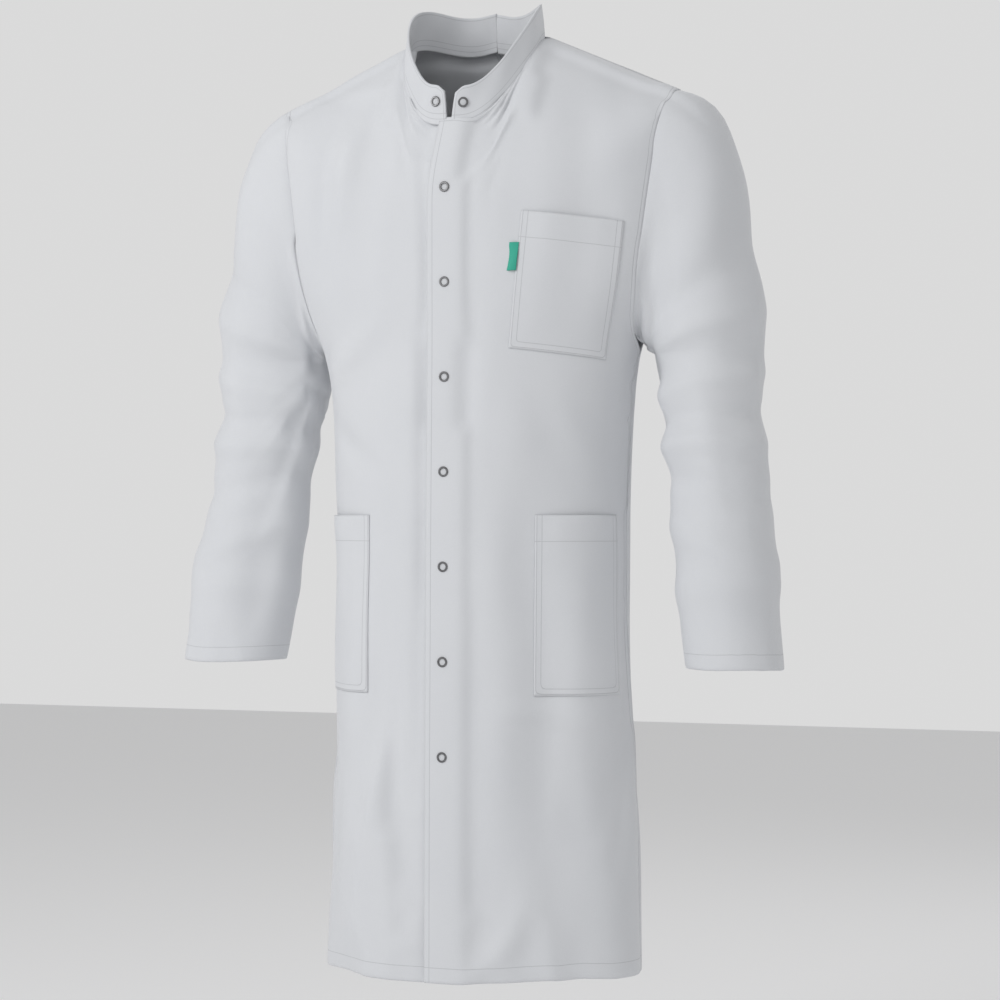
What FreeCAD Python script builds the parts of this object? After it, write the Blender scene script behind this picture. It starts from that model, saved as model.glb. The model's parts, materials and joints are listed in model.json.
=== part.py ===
import FreeCAD, Part
import math
import os
import Sketcher

# A knee-length lab coat with a stand collar, press snaps down the front, one chest
# pocket and two hip pockets. Millimetres, +Z up, +X towards the wearer's left, the
# front faces -Y. The origin is the point on the mid-plane between the two neck-side
# points, where the coat hangs on a hanger or on a pair of shoulders.

doc = FreeCAD.newDocument("LabCoat")
sheet = doc.addObject("Spreadsheet::Sheet", "Sizes")

sizeRows = [
    # cloth layers
    ("cloth", 1.2, "wall that stands in for the outer cloth"),
    ("facing", 1.0, "wall that stands in for the front facing"),
    ("wrapGap", 3.6, "room for the snaps between the left front and the right front"),
    ("seamGap", 0.6, "clear width of a cut between two moving bodies"),
    # length and body sections, all depths measured down from the origin
    ("hemDrop", 1020, "neck-side point to the hem"),
    ("hemWidth", 178, "half width at the hem"),
    ("hemDepth", 127, "half depth at the hem"),
    ("skirtDrop", 860, "neck-side point to the middle of the skirt"),
    ("skirtWidth", 176, "half width there"),
    ("skirtDepth", 126, "half depth there"),
    ("hipDrop", 700, "neck-side point to the hip section"),
    ("hipWidth", 175, "half width at the hip"),
    ("hipDepth", 124, "half depth at the hip"),
    ("waistDrop", 500, "neck-side point to the waist section"),
    ("waistWidth", 173, "half width at the waist"),
    ("waistDepth", 121, "half depth at the waist"),
    ("underarmDrop", 345, "neck-side point to the underarm point"),
    ("underarmWidth", 189, "half width between the underarm points"),
    ("chestDrop", 250, "neck-side point to the chest section"),
    ("chestWidth", 236, "half width of the chest section, outside the armhole cut"),
    ("chestDepth", 118, "half depth of the chest"),
    ("yokeWidth", 250, "half width of the body tube at the shoulders"),
    # shoulders
    ("ridgeRise", 36, "height of the two shoulder ridges where they meet over the neck"),
    ("shoulderFall", 23.7, "degrees that each shoulder falls"),
    ("archRadius", 1200, "tall radius of the shoulder arch"),
    ("archSpread", 230, "short radius of the shoulder arch"),
    ("armholeLean", 7.7, "degrees that the armhole plane leans out"),
    # neck and collar
    ("neckRadius", 78, "radius of the neckline in plan"),
    ("neckForward", 27, "neckline centre in front of the shoulder ridge"),
    ("collarHeight", 34, "height of the band collar"),
    ("collarTuck", 6, "depth of the collar seam below the neckline"),
    ("collarGap", 6, "clear width between the two collar ends"),
    ("collarStep", 1.0, "how far the right collar end lies inside the left one"),
    # front opening
    ("wrap", 20, "overlap of each front past the centre line"),
    ("facingWidth", 58, "width of each front facing"),
    ("foldTopDrop", 60, "neck-side point to the top of the fold line"),
    ("foldTop", 55, "fold line from the centre, at its top"),
    ("foldHem", 90, "fold line from the centre, at the hem"),
    # sleeves
    ("armholeHeight", 283, "length of the armhole opening"),
    ("armholeDepth", 68, "half depth of the armhole opening"),
    ("sleeveBack", 6, "sleeve centre behind the mid-plane at the armhole"),
    ("armpitBend", 8, "radius of the sleeve's turn under the arm"),
    ("capLength", 158, "underarm point to the sleeve's outer wall, at 45 degrees"),
    ("capDepth", 66, "half depth of the sleeve there"),
    ("bicepWidth", 62, "half width of the sleeve at the underarm"),
    ("bicepDepth", 60, "half depth of the sleeve at the underarm"),
    ("bicepOut", 258, "sleeve centre from the mid-plane at the underarm"),
    ("elbowDrop", 415, "neck-side point to the elbow"),
    ("elbowOut", 261, "sleeve centre from the mid-plane at the elbow"),
    ("elbowWidth", 61, "half width of the sleeve at the elbow"),
    ("elbowDepth", 59, "half depth of the sleeve at the elbow"),
    ("cuffDrop", 689, "neck-side point to the cuff"),
    ("cuffOut", 296, "sleeve centre from the mid-plane at the cuff"),
    ("cuffForward", 20, "cuff centre in front of the mid-plane"),
    ("cuffWidth", 57, "half width of the cuff"),
    ("cuffDepth", 51, "half depth of the cuff"),
    # pockets
    ("pocketRoom", 8, "inside depth of a pocket standing open"),
    ("chestPocketIn", 84, "centre line to the chest pocket's upper inner corner"),
    ("chestPocketDrop", 200, "neck-side point to the chest pocket's upper inner corner"),
    ("chestPocketWide", 112, "chest pocket width, along the slant"),
    ("chestPocketTall", 146, "chest pocket height"),
    ("chestPocketLean", 6, "degrees that the chest pocket leans"),
    ("hipPocketIn", 97, "centre line to a hip pocket's inner edge"),
    ("hipPocketDrop", 522, "neck-side point to a hip pocket's mouth"),
    ("hipPocketTall", 192, "hip pocket height"),
    ("sideClear", 4, "hip pocket edge to the side seam"),
    ("tabWide", 10, "pocket tab, seam to free end"),
    ("tabTall", 30, "pocket tab height"),
    ("tabThick", 0.8, "pocket tab thickness"),
    ("tabDrop", 33, "chest pocket mouth to the tab"),
    # press snaps
    ("snapFirst", 173, "neck-side point to the first front snap"),
    ("snapPitch", 101, "distance from one front snap to the next"),
    ("snapCount", 7, "snaps on the front below the collar"),
    ("snapRing", 5.6, "outer radius of the ring that shows"),
    ("snapHole", 3.5, "inner radius of that ring"),
    ("snapLift", 1.3, "thickness of that ring"),
    ("socketRadius", 5.0, "outer radius of the socket"),
    ("socketBore", 2.3, "radius of the socket's bore"),
    ("socketTall", 2.6, "height of the socket"),
    ("studPost", 1.6, "radius of the stud's post"),
    ("studTall", 2.3, "height of the stud's post"),
    ("studBase", 0.6, "thickness of the stud's base"),
    ("prong", 0.5, "radius of a prong"),
]

for row, (alias, value, note) in enumerate(sizeRows, 1):
    sheet.set(f"A{row}", note)
    sheet.set(f"B{row}", str(value))
    sheet.setAlias(f"B{row}", alias)
doc.recompute()


def size(alias):
    return float(sheet.get(alias))


xAxis = FreeCAD.Vector(1, 0, 0)
yAxis = FreeCAD.Vector(0, 1, 0)
zAxis = FreeCAD.Vector(0, 0, 1)
reach = 400          # half size of the boxes that only mark out a region
hemSpare = 40        # how far the body tube runs past the hem before it is trimmed
sides = {"left": 1, "right": -1}
nodes = {}


# ---- helpers that add one bound object each ----

def bind(item, sizes):
    for name, expression in sizes.items():
        item.setExpression(name, str(expression))
    return item


def place(item, x, y, z):
    return bind(item, {"Placement.Base.x": x, "Placement.Base.y": y, "Placement.Base.z": z})


def valueOf(expression):
    return float(sheet.evalExpression(expression))


def ellipse(major, minor, x, y, z, turn=None):
    # four arcs, because a loft through whole ellipses doesn't close
    whole = Part.Ellipse(FreeCAD.Vector(), valueOf(major), valueOf(minor))
    quarter = math.pi / 2
    corner = quarter / 2
    arcs = [Part.ArcOfEllipse(whole, corner + number * quarter, corner + (number + 1) * quarter)
            for number in range(4)]
    wire = Part.Wire([arc.toShape() for arc in arcs])
    spot = FreeCAD.Vector(valueOf(x), valueOf(y), valueOf(z))
    wire.Placement = FreeCAD.Placement(spot, turn or FreeCAD.Rotation())
    return wire


def loft(name, sections, ruled=False):
    body = doc.addObject("Part::Feature", name)
    body.Shape = Part.makeLoft(sections, True, ruled)
    return body


def cylinder(name, radius, x, y):
    post = doc.addObject("Part::Cylinder", name)
    bind(post, {"Radius": radius, "Height": f"{2 * reach}"})
    return place(post, x, y, -reach)


def block(name, x, y, z, wide, deep, tall, turn=None):
    box = doc.addObject("Part::Box", name)
    bind(box, {"Length": wide, "Width": deep, "Height": tall})
    if turn is not None:
        box.Placement.Rotation = turn
    return place(box, x, y, z)


def cut(name, base, tool):
    result = doc.addObject("Part::Cut", name)
    result.Base = base
    result.Tool = tool
    return result


def cutAll(name, base, tools):
    for number, tool in enumerate(tools):
        base = cut(f"{name}_cut{number}", base, tool)
    return base


def common(name, base, tool):
    result = doc.addObject("Part::Common", name)
    result.Base = base
    result.Tool = tool
    return result


def fuse(name, base, tool):
    result = doc.addObject("Part::Fuse", name)
    result.Base = base
    result.Tool = tool
    return result


def keep(name, item):
    item.Label = name
    nodes[name] = item
    return item


# ---- the body of the coat as solid volumes, one inside another ----

tubeSizes = [
    (f"-Sizes.hemDrop - {hemSpare}", "hemWidth", "hemDepth"),
    ("-Sizes.skirtDrop", "skirtWidth", "skirtDepth"),
    ("-Sizes.hipDrop", "hipWidth", "hipDepth"),
    ("-Sizes.waistDrop", "waistWidth", "waistDepth"),
    ("-Sizes.underarmDrop", "underarmWidth", "chestDepth"),
    ("-Sizes.chestDrop", "chestWidth", "chestDepth"),
    ("-Sizes.chestDrop / 2", "yokeWidth", "chestDepth"),
    ("Sizes.ridgeRise * 2", "yokeWidth", "chestDepth"),
]
tubeRows = [(valueOf(height), size(wide), size(deep)) for height, wide, deep in tubeSizes]
tubeSteps = 15


def tubeSize(height, column):
    # a smooth curve through the measured sections, level at both ends
    span = max(i for i in range(len(tubeRows) - 1) if tubeRows[i][0] <= height + 0.001)

    def slope(i):
        if i in (0, len(tubeRows) - 1):
            return 0
        rise = tubeRows[i + 1][column] - tubeRows[i - 1][column]
        return rise / (tubeRows[i + 1][0] - tubeRows[i - 1][0])

    low, high = tubeRows[span], tubeRows[span + 1]
    tall = high[0] - low[0]
    t = (height - low[0]) / tall
    ends = (2 * t ** 3 - 3 * t ** 2 + 1) * low[column] + (3 * t ** 2 - 2 * t ** 3) * high[column]
    slopes = (t ** 3 - 2 * t ** 2 + t) * slope(span) + (t ** 3 - t ** 2) * slope(span + 1)
    return ends + slopes * tall


tubeStep = (tubeRows[-1][0] - tubeRows[0][0]) / tubeSteps
tubeHeights = [tubeRows[0][0] + number * tubeStep for number in range(tubeSteps + 1)]
tubeSections = [(height, tubeSize(height, 1), tubeSize(height, 2)) for height in tubeHeights]


def shoulderArch(name, inset, lift="0"):
    # two slanted arches that meet over the neck and fall towards the shoulder tips
    upright = FreeCAD.Rotation(yAxis, -90)
    ridge = f"Sizes.ridgeRise - Sizes.archRadius + ({lift})"
    sections = []
    for step in (-1, 0, 1):
        fall = f"{abs(step) * reach} * tan(Sizes.shoulderFall)"
        sections.append(ellipse(f"Sizes.archRadius - ({inset})", f"Sizes.archSpread - ({inset})",
                                f"{step * reach}", "0", f"{ridge} - {fall}", upright))
    return loft(name, sections, ruled=True)


def bodyVolume(name, inset):
    rings = [ellipse(f"{wide} - ({inset})", f"{deep} - ({inset})", "0", "0", f"{height}")
             for height, wide, deep in tubeSections]
    return common(name, loft(f"{name}_tube", rings), shoulderArch(f"{name}_arch", inset))


rightFace = "Sizes.cloth + Sizes.facing + Sizes.wrapGap"
outerBody = bodyVolume("outerBody", "0")
clothBody = bodyVolume("clothBody", "Sizes.cloth")
facingBody = bodyVolume("facingBody", "Sizes.cloth + Sizes.facing")
rightBody = bodyVolume("rightBody", rightFace)
rightClothBody = bodyVolume("rightClothBody", f"{rightFace} + Sizes.cloth")
rightFacingBody = bodyVolume("rightFacingBody", f"{rightFace} + Sizes.cloth + Sizes.facing")
pocketBody = bodyVolume("pocketBody", "-Sizes.pocketRoom")
pocketOuterBody = bodyVolume("pocketOuterBody", "-Sizes.pocketRoom - Sizes.cloth")

neckHole = cylinder("neckHole", "Sizes.neckRadius", "0", "-Sizes.neckForward")
rightNeckHole = cylinder("rightNeckHole", "Sizes.neckRadius - Sizes.collarStep", "0",
                         "-Sizes.neckForward")


# ---- regions that divide the body into its panels ----

aboveHem = block("aboveHem", f"{-reach}", f"{-reach}", "-Sizes.hemDrop",
                 f"{2 * reach}", f"{2 * reach}", f"Sizes.hemDrop + {reach}")
foldSlope = "(Sizes.foldHem - Sizes.foldTop) / (Sizes.hemDrop - Sizes.foldTopDrop)"
foldLow = f"Sizes.foldHem + {hemSpare} * {foldSlope}"
foldHigh = f"Sizes.foldTop - (Sizes.foldTopDrop + {reach}) * {foldSlope}"


def frontWedge(name, sign, near, spare):
    # everything in front of the arms between the x value near and the fold line
    wedge = doc.addObject("Part::Wedge", name)
    wedge.Placement.Rotation = FreeCAD.Rotation(xAxis, 90)
    low = f"{sign} * ({foldLow} + {spare})"
    high = f"{sign} * ({foldHigh} + {spare})"
    ends = ("Xmin", "Xmax", "X2min", "X2max")
    order = (near, low, near, high) if sign > 0 else (low, near, high, near)
    bind(wedge, dict(zip(ends, order)))
    bind(wedge, {"Ymin": f"-Sizes.hemDrop - {hemSpare}", "Ymax": f"{reach}",
                 "Zmin": "Sizes.neckForward", "Zmax": f"{reach}",
                 "Z2min": "Sizes.neckForward", "Z2max": f"{reach}"})
    return wedge


def armholeBlock(side, sign):
    # the outside of the slanted armhole plane, from the underarm point upwards
    lean = FreeCAD.Rotation(yAxis, sign * size("armholeLean"))
    box = doc.addObject("Part::Box", f"{side}Armhole")
    bind(box, {"Length": f"{reach}", "Width": f"{2 * reach}", "Height": f"{2 * reach}"})
    box.Placement.Rotation = lean
    across = FreeCAD.Vector(-reach if sign < 0 else 0, -reach, 0)
    corner = lean.multVec(across)
    return place(box, f"{sign} * Sizes.underarmWidth + {corner.x}", f"{corner.y}",
                 f"-Sizes.underarmDrop + {corner.z}")


armholes = {side: armholeBlock(side, sign) for side, sign in sides.items()}
bodyCloth = common("bodyCloth", cut("bodyShell", outerBody, clothBody), aboveHem)
openCloth = cutAll("openCloth", bodyCloth, [neckHole, armholes["left"], armholes["right"]])

for side, sign in sides.items():
    start = "0" if sign > 0 else f"{-reach}"
    backHalf = block(f"{side}BackHalf", start, "0", f"-Sizes.hemDrop - {hemSpare}",
                     f"{reach}", f"{reach}", f"Sizes.hemDrop + {reach}")
    frontHalf = block(f"{side}FrontHalf", start, f"{-reach}", f"-Sizes.hemDrop - {hemSpare}",
                      f"{reach}", f"{reach}", f"Sizes.hemDrop + {reach}")
    keep(f"{side}_back", common(f"{side}Back", openCloth, backHalf))
    sidePart = common(f"{side}FrontCloth", openCloth, frontHalf)
    past = frontWedge(f"{side}PastFold", sign, f"{-sign * reach}", "0")
    keep(f"{side}_front_side", cut(f"{side}FrontSide", sidePart, past))


# ---- the two opening fronts, each with its facing ----

def frontEdge(side, sign, outer, middle, inner, hole):
    region = frontWedge(f"{side}EdgeRegion", sign, f"{-sign} * Sizes.wrap", "-Sizes.seamGap")
    shell = common(f"{side}EdgeShell", cut(f"{side}EdgeCloth", outer, middle), aboveHem)
    edge = cut(f"{side}Edge", common(f"{side}EdgePart", shell, region), hole)
    keep(f"{side}_front_edge", edge)
    strip = block(f"{side}Strip",
                  "-Sizes.wrap" if sign > 0 else "Sizes.wrap - Sizes.facingWidth",
                  f"{-reach}", f"-Sizes.hemDrop - {hemSpare}", "Sizes.facingWidth",
                  f"{reach} - Sizes.neckForward", f"Sizes.hemDrop + {reach}")
    lining = common(f"{side}FacingShell", cut(f"{side}FacingCloth", middle, inner), aboveHem)
    keep(f"{side}_facing", cut(f"{side}Facing", common(f"{side}FacingPart", lining, strip), hole))


frontEdge("left", 1, outerBody, clothBody, facingBody, neckHole)
frontEdge("right", -1, rightBody, rightClothBody, rightFacingBody, rightNeckHole)


# ---- the band collar: an outer band and its lining, in three parts ----

collarTop = shoulderArch("collarTop", "0", "Sizes.collarHeight")
collarFoot = shoulderArch("collarFoot", "0", "-Sizes.collarTuck")
rightCollarFoot = shoulderArch("rightCollarFoot", "0", f"-3 * ({rightFace})")


def bandRing(name, outside, inside, foot):
    walls = cut(f"{name}Walls", cylinder(f"{name}Outside", outside, "0", "-Sizes.neckForward"),
                cylinder(f"{name}Inside", inside, "0", "-Sizes.neckForward"))
    return cut(name, common(f"{name}Band", walls, collarTop), foot)


def collarLayer(label, step):
    outside = f"Sizes.neckRadius - {step} * Sizes.cloth"
    ring = bandRing(f"{label}Ring", outside, f"{outside} - Sizes.cloth", collarFoot)
    rightOutside = f"{outside} - Sizes.collarStep"
    rightRing = bandRing(f"{label}RightRing", rightOutside, f"{rightOutside} - Sizes.cloth",
                         rightCollarFoot)
    frontArea = fuse(f"{label}FrontArea",
                     frontWedge(f"{label}LeftPast", 1, "-1", "0"),
                     frontWedge(f"{label}RightPast", -1, "1", "0"))
    keep(f"{label}_back", cut(f"{label}Back", ring, frontArea))
    leftEnd = frontWedge(f"{label}LeftEnd", 1, "Sizes.collarGap / 2", "-Sizes.seamGap")
    keep(f"{label}_left_end", common(f"{label}Left", ring, leftEnd))
    rightEnd = frontWedge(f"{label}RightEnd", -1, "-Sizes.collarGap / 2", "-Sizes.seamGap")
    keep(f"{label}_right_end", common(f"{label}Right", rightRing, rightEnd))


collarLayer("collar", 0)
collarLayer("collar_lining", 1)


# ---- sleeves: a fan of sections about the underarm point, then down the arm ----

capAngle = 45        # degrees from level at which the sleeve's cap has run out


def fanSection(angle):
    # length from the underarm point to the outer wall, half depth and setback
    top = 90 - size("armholeLean")
    if angle > capAngle:
        share = min(1, (angle - capAngle) / (top - capAngle))
        grown = math.sin(math.radians(90 * share)) ** 1.5
        length = size("capLength") + (size("armholeHeight") - size("capLength")) * grown
        depth = size("capDepth") + (size("armholeDepth") - size("capDepth")) * share
        return length, depth, size("sleeveBack") + 9 * (1 - share)
    share = angle / capAngle
    level = 2 * size("bicepWidth")
    length = level + (size("capLength") - level) * share ** 1.5
    depth = size("bicepDepth") + (size("capDepth") - size("bicepDepth")) * share
    return length, depth, size("sleeveBack") + 12 - 3 * share


leanAngle = math.radians(size("armholeLean"))
turnOut = size("underarmWidth") - size("armpitBend") * math.sin(leanAngle)
turnDrop = size("underarmDrop") + size("armpitBend") * math.cos(leanAngle)


def sleeveSections(sign, inset):
    rings = []
    top = 90 - size("armholeLean")
    steps = 6
    angles = [top + (capAngle - top) * step / steps for step in range(steps)]
    angles += [capAngle * (1 - step / 4) for step in range(5)]
    for angle in angles:
        length, depth, back = fanSection(angle)
        turn = FreeCAD.Rotation(yAxis, -angle if sign > 0 else angle - 180)
        middle = size("armpitBend") + length / 2
        x = sign * (turnOut + middle * math.cos(math.radians(angle)))
        z = middle * math.sin(math.radians(angle)) - turnDrop
        rings.append(ellipse(f"{length / 2} - ({inset})", f"{depth} - ({inset})",
                             f"{x}", f"{back}", f"{z}", turn))
    turn = None if sign > 0 else FreeCAD.Rotation(yAxis, -180)
    levels = [
        (f"{-turnDrop} - 12", "Sizes.bicepOut", "Sizes.sleeveBack + 12",
         "Sizes.bicepWidth", "Sizes.bicepDepth"),
        ("-Sizes.elbowDrop", "Sizes.elbowOut", "Sizes.sleeveBack + 4",
         "Sizes.elbowWidth", "Sizes.elbowDepth"),
        ("-Sizes.cuffDrop", "Sizes.cuffOut", "-Sizes.cuffForward",
         "Sizes.cuffWidth", "Sizes.cuffDepth"),
    ]
    for z, out, back, wide, deep in levels:
        rings.append(ellipse(f"{wide} - ({inset})", f"{deep} - ({inset})",
                             f"{sign} * {out}", back, z, turn))
    return rings


def sleeveTube(name, sign):
    # one hollow ring between each two sections, joined into a tube
    outer = sleeveSections(sign, "0")
    inner = sleeveSections(sign, "Sizes.cloth")
    rings = []
    for number in range(len(outer) - 1):
        whole = Part.makeLoft(outer[number:number + 2], True, True)
        hollow = Part.makeLoft(inner[number:number + 2], True, True)
        rings.append(whole.cut(hollow))
    tube = doc.addObject("Part::Feature", name)
    tube.Shape = rings[0].multiFuse(rings[1:])
    return tube


for side, sign in sides.items():
    tube = sleeveTube(f"{side}SleeveTube", sign)
    forearmRegion = block(f"{side}ForearmRegion", f"{-reach}", f"{-reach}", "-Sizes.hemDrop",
                    f"{2 * reach}", f"{2 * reach}", "Sizes.hemDrop - Sizes.elbowDrop")
    armRegion = block(f"{side}ArmRegion", f"{-reach}", f"{-reach}",
                   "-Sizes.elbowDrop + Sizes.seamGap",
                   f"{2 * reach}", f"{2 * reach}", f"Sizes.elbowDrop + {reach}")
    keep(f"{side}_sleeve_upper", common(f"{side}Upper", tube, armRegion))
    keep(f"{side}_sleeve_lower", common(f"{side}Lower", tube, forearmRegion))


# ---- patch pockets: a wall standing off the front, closed at its sides and foot ----

def pocket(name, outline, room):
    patch = common(f"{name}Patch", cut(f"{name}Stand", pocketOuterBody, outerBody), outline)
    hollow = common(f"{name}Hollow", pocketBody, room)
    return keep(name, cut(f"{name}Wall", patch, hollow))


def slantedBlock(name, lean, inset, over):
    turn = FreeCAD.Rotation(yAxis, lean)
    spot = turn.multVec(FreeCAD.Vector(1, 0, 0))
    down = turn.multVec(FreeCAD.Vector(0, 0, -1))
    tall = f"Sizes.chestPocketTall - ({inset})"
    return block(name,
                 f"Sizes.chestPocketIn + ({inset}) * {spot.x} + ({tall}) * {down.x}",
                 f"{-reach}",
                 f"-Sizes.chestPocketDrop + ({inset}) * {spot.z} + ({tall}) * {down.z}",
                 f"Sizes.chestPocketWide - 2 * ({inset})", f"{reach}", f"{tall} + {over}", turn)


lean = size("chestPocketLean")
pocket("chest_pocket", slantedBlock("chestPocketOutline", lean, "0", "0"),
       slantedBlock("chestPocketRoom", lean, "Sizes.cloth", "5"))

for side, sign in sides.items():
    foot = "-Sizes.hipPocketDrop - Sizes.hipPocketTall"
    xOutline = "Sizes.hipPocketIn" if sign > 0 else f"-Sizes.hipPocketIn - {reach}"
    xRoom = ("Sizes.hipPocketIn + Sizes.cloth" if sign > 0
             else f"-Sizes.hipPocketIn - Sizes.cloth - {reach}")
    outline = block(f"{side}HipOutline", xOutline, f"{-reach} - Sizes.sideClear", foot,
                    f"{reach}", f"{reach}", "Sizes.hipPocketTall")
    room = block(f"{side}HipRoom", xRoom, f"{-reach} - Sizes.sideClear - Sizes.cloth",
                 f"{foot} + Sizes.cloth", f"{reach}", f"{reach}", "Sizes.hipPocketTall + 5")
    pocket(f"{side}_hip_pocket", outline, room)


# ---- places measured on the front surface ----

doc.recompute()


def frontSurface(body, x, z):
    ray = Part.makeLine(FreeCAD.Vector(x, -reach, z), FreeCAD.Vector(x, 0, z))
    inside = body.Shape.common(ray)
    return min(corner.Point.y for corner in inside.Vertexes)


tabZ = -size("chestPocketDrop") - size("tabDrop")
tabEnd = size("chestPocketIn") - (size("tabDrop") + size("tabTall") / 2) * math.tan(math.radians(lean))
tab = block("tab", f"{tabEnd} + Sizes.cloth / 2 - Sizes.tabWide",
            f"{frontSurface(outerBody, tabEnd, tabZ)} - Sizes.pocketRoom / 2",
            f"{tabZ} - Sizes.tabTall", "Sizes.tabWide", "Sizes.tabThick", "Sizes.tabTall")
tab.Placement.Rotation = FreeCAD.Rotation(yAxis, lean)
keep("pocket_tab", tab)


# ---- press snaps, each turned from a half profile about its own axis ----

def originPlane(body, role):
    return next(item for item in body.Origin.OriginFeatures if item.Role == role)


def turnedBody(name, profile):
    # profile: corners (radius, height) whose coordinates are sheet expressions
    body = doc.addObject("PartDesign::Body", name)
    sketch = body.newObject("Sketcher::SketchObject", f"{name}Profile")
    sketch.AttachmentSupport = [(originPlane(body, "XZ_Plane"), "")]
    sketch.MapMode = "FlatFace"
    corners = [FreeCAD.Vector(valueOf(radius), valueOf(height), 0) for radius, height in profile]
    count = len(corners)
    for number in range(count):
        sketch.addGeometry(Part.LineSegment(corners[number], corners[(number + 1) % count]))
    for number in range(count):
        sketch.addConstraint(Sketcher.Constraint("Coincident", number, 2, (number + 1) % count, 1))
    for number, (radius, height) in enumerate(profile):
        for kind, expression, value in (("DistanceX", radius, corners[number].x),
                                        ("DistanceY", height, corners[number].y)):
            index = sketch.addConstraint(Sketcher.Constraint(kind, -1, 1, number, 1, value))
            sketch.setExpression(f"Constraints[{index}]", expression)
    spin = body.newObject("PartDesign::Revolution", f"{name}Spin")
    spin.Profile = sketch
    spin.ReferenceAxis = (sketch, ["V_Axis"])
    spin.Angle = 360
    return body


ringBody = turnedBody("snapRingMaster", [
    ("Sizes.snapHole", "0"),
    ("Sizes.snapRing", "0"),
    ("Sizes.snapRing", "Sizes.snapLift * 0.45"),
    ("Sizes.snapRing * 0.88", "Sizes.snapLift"),
    ("Sizes.snapHole * 1.12", "Sizes.snapLift"),
    ("Sizes.snapHole", "Sizes.snapLift * 0.6"),
])
socketBody = turnedBody("snapSocketMaster", [
    ("Sizes.socketBore", "0"),
    ("Sizes.socketRadius", "0"),
    ("Sizes.socketRadius", "Sizes.socketTall * 0.4"),
    ("Sizes.socketRadius * 0.75", "Sizes.socketTall"),
    ("Sizes.socketBore", "Sizes.socketTall"),
])
studBody = turnedBody("snapStudMaster", [
    ("0", "0"),
    ("Sizes.socketRadius", "0"),
    ("Sizes.socketRadius", "Sizes.studBase"),
    ("Sizes.studPost * 0.9", "Sizes.studBase"),
    ("Sizes.studPost", "Sizes.studBase + Sizes.studTall * 0.7"),
    ("Sizes.studPost * 0.7", "Sizes.studBase + Sizes.studTall"),
    ("0", "Sizes.studBase + Sizes.studTall"),
])
doc.recompute()


def prongs(depth):
    # the five prongs of a ring, which pass through the cloth behind it
    radius = (size("snapHole") + size("snapRing")) / 2
    turns = [2 * math.pi * number / 5 for number in range(5)]
    return [Part.makeCylinder(size("prong"), depth + 0.2, FreeCAD.Vector(
        radius * math.cos(turn), radius * math.sin(turn), -depth)) for turn in turns]


outward = FreeCAD.Rotation(xAxis, 90)       # the snap's axis points out of the front
inward = FreeCAD.Rotation(xAxis, -90)
layers = size("cloth") + size("facing")
wrapGap = size("wrapGap")
frontSnaps = [(0, -size("snapFirst") - number * size("snapPitch"))
              for number in range(int(size("snapCount")))]


def snapRow(name, master, turn, depth, extra=None):
    shapes = []
    for x, z in frontSnaps:
        piece = master.Shape.copy()
        if extra:
            piece = piece.fuse(extra)
        spot = FreeCAD.Vector(x, frontSurface(outerBody, x, z) + depth, z)
        piece.Placement = FreeCAD.Placement(spot, turn)
        shapes.append(piece)
    group = doc.addObject("Part::Feature", name)
    group.Shape = Part.makeCompound(shapes)
    return keep(name, group)


ringShape = prongs(layers)
snapRow("snap_rings", ringBody, outward, 0, ringShape)
snapRow("snap_sockets", socketBody, inward, layers)
snapRow("snap_studs", studBody, outward, layers + wrapGap)
snapRow("snap_back_rings", ringBody, inward, 2 * layers + wrapGap, ringShape)


# the undone snap of the collar: a ring on each end of the band
def collarRing(name, sign, radius, from_end):
    x = sign * (size("collarGap") / 2 + from_end)
    angle = math.asin(x / radius)
    y = -size("neckForward") - radius * math.cos(angle)
    ridge = size("ridgeRise") - abs(x) * math.tan(math.radians(size("shoulderFall")))
    arch = size("archRadius") * (1 - math.sqrt(1 - (y / size("archSpread")) ** 2))
    z = ridge - arch + size("collarHeight") * 0.5
    turn = FreeCAD.Rotation(zAxis, math.degrees(angle)).multiply(outward)
    piece = ringBody.Shape.fuse(prongs(2 * size("cloth")))
    group = doc.addObject("Part::Feature", name)
    group.Shape = piece
    group.Placement = FreeCAD.Placement(FreeCAD.Vector(x, y, z), turn)
    return keep(name, group)


collarRing("collar_snap_left", 1, size("neckRadius"), 13)
collarRing("collar_snap_right", -1, size("neckRadius") - size("collarStep"), 13)

doc.recompute()

# ---- check and write ----

for item in doc.Objects:
    if "Invalid" in item.State or "Error" in item.State:
        raise RuntimeError(f"{item.Label} failed: {item.State}")
for name, item in nodes.items():
    shape = item.Shape
    if shape.isNull() or not shape.isValid() or not shape.Solids:
        raise RuntimeError(f"{name} has no valid solid")
    box = shape.BoundBox
    print(f"{name}: {len(shape.Solids)} solids, {shape.Volume:.0f} mm3, "
          f"x {box.XMin:.0f}..{box.XMax:.0f} y {box.YMin:.0f}..{box.YMax:.0f} "
          f"z {box.ZMin:.0f}..{box.ZMax:.0f}")

os.makedirs("parts", exist_ok=True)
for name, item in nodes.items():
    item.Shape.exportStep(f"parts/{name}.step")
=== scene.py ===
import bpy
import json
import math
import numpy as np
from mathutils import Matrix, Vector, noise
from mathutils.bvhtree import BVHTree
from mathutils.kdtree import KDTree

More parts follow.
